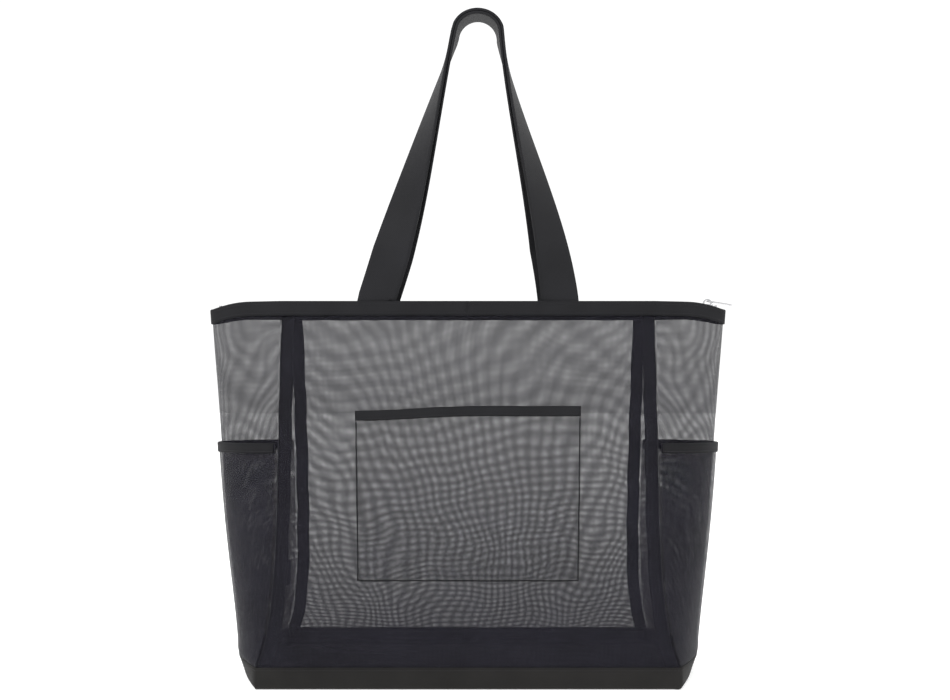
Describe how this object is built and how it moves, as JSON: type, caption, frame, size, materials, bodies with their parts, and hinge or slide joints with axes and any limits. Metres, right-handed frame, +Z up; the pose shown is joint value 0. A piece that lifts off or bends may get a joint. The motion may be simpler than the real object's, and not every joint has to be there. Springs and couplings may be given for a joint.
{
  "type": "beach bag",
  "caption": "Mesh zip-top beach tote with creased gussets, patch and side pockets, woven base, two long webbing handles, a sliding zip and a mouth that opens.",
  "frame": {"origin": "on the floor, under the middle of the base", "axes": "+Z up; +X to the right as seen from the front, along the bag's width; -Y is the front, the side with the patch pocket"},
  "size_m": [0.5337, 0.151, 0.6706],
  "materials": {
    "mesh": "matt polyester mesh",
    "base_cloth": "plain woven polyester",
    "tape": "woven binding tape",
    "webbing": "woven webbing",
    "coil": "nylon coil",
    "zip_metal": "plated zinc"
  },
  "bodies": {
    "bag": {"front_panel": "mesh", "back_panel": "mesh", "left_gusset": "mesh", "right_gusset": "mesh", "base_panel": "base_cloth", "front_pocket": "mesh", "left_side_pocket": "mesh", "right_side_pocket": "mesh", "front_pocket_binding": "tape", "left_pocket_binding": "tape", "right_pocket_binding": "tape", "front_left_seam": "tape", "front_right_seam": "tape", "back_left_seam": "tape", "back_right_seam": "tape", "front_base_seam": "tape", "back_base_seam": "tape", "left_base_seam": "tape", "right_base_seam": "tape", "front_top_hem": "tape", "back_top_hem": "tape", "front_handle_ends": "webbing", "back_handle_ends": "webbing", "front_zip_edge": "tape", "back_zip_edge": "tape", "left_zip_end": "tape", "right_zip_end": "tape", "left_end_coil": "coil", "right_end_coil": "coil", "zip_stops": "zip_metal", "label_tab": "tape"},
    "slider": {"zip_slider": "zip_metal"},
    "pull": {"zip_pull": "zip_metal"},
    "front_flap": {"front_zip_tape": "tape", "front_zip_coil": "coil"},
    "back_flap": {"back_zip_tape": "tape", "back_zip_coil": "coil"},
    "front_strap": {"front_handle": "webbing"},
    "back_strap": {"back_handle": "webbing"}
  },
  "joints": [
    {"name": "zip_slide", "type": "slide", "parent": "bag", "child": "slider", "axis": [-1, 0, 0], "range_m": [0, 0.489]},
    {"name": "pull_flip", "type": "hinge", "parent": "slider", "child": "pull", "pos_m": [0.2445, 0, 0.372], "axis": [0, -1, 0], "range_deg": [0, 189]},
    {"name": "front_flap_fold", "type": "hinge", "parent": "bag", "child": "front_flap", "pos_m": [0, -0.01425, 0.3647], "axis": [-1, 0, 0], "range_deg": [0, 85]},
    {"name": "back_flap_fold", "type": "hinge", "parent": "bag", "child": "back_flap", "pos_m": [0, 0.01425, 0.3647], "axis": [1, 0, 0], "range_deg": [0, 85]},
    {"name": "front_handle_fold", "type": "hinge", "parent": "bag", "child": "front_strap", "pos_m": [0, -0.0193, 0.3692], "axis": [1, 0, 0], "range_deg": [0, 157]},
    {"name": "back_handle_fold", "type": "hinge", "parent": "bag", "child": "back_strap", "pos_m": [0, 0.0193, 0.3692], "axis": [-1, 0, 0], "range_deg": [0, 157]}
  ]
}
